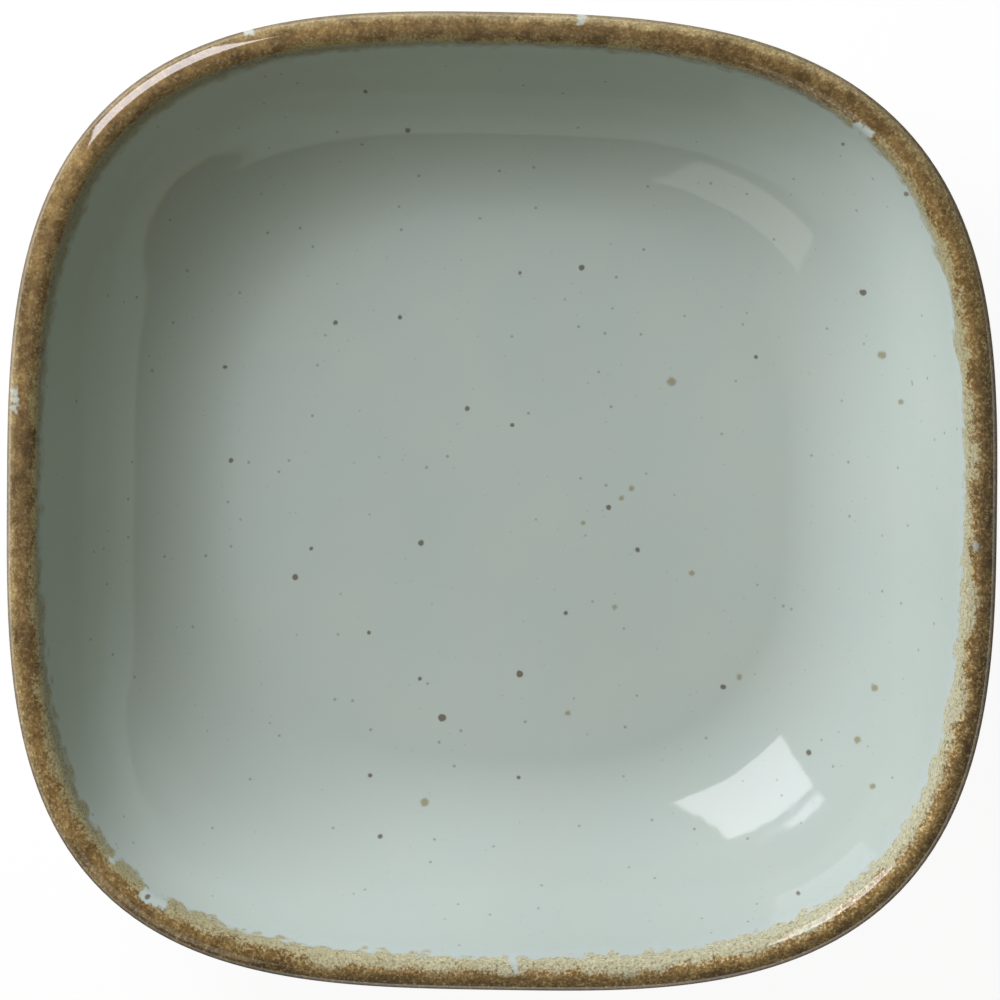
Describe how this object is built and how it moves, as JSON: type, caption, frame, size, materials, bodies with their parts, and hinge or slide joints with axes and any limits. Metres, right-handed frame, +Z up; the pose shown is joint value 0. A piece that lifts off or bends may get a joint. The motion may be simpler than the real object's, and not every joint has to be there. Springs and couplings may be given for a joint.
{
  "type": "square bowl",
  "caption": "Shallow square stoneware bowl with rounded corners, sweeping walls, a rounded brown rim and a low foot ring, glazed inside and out.",
  "frame": {"origin": "on the ground, at the middle of the foot ring and of the bowl's box", "axes": "+Z up out of the bowl's mouth, +X and +Y along its sides"},
  "size_m": [0.15, 0.1482, 0.038],
  "materials": {
    "bare_clay": "matt fired clay",
    "pale_glaze": "gloss, pale grey-green with brown specks",
    "brown_glaze": "gloss, mottled brown"
  },
  "bodies": {
    "root": {"clay_body": "bare_clay", "inside_glaze": "pale_glaze", "rim_glaze": "brown_glaze", "outside_glaze": "pale_glaze", "recess_glaze": "pale_glaze"}
  },
  "joints": []
}
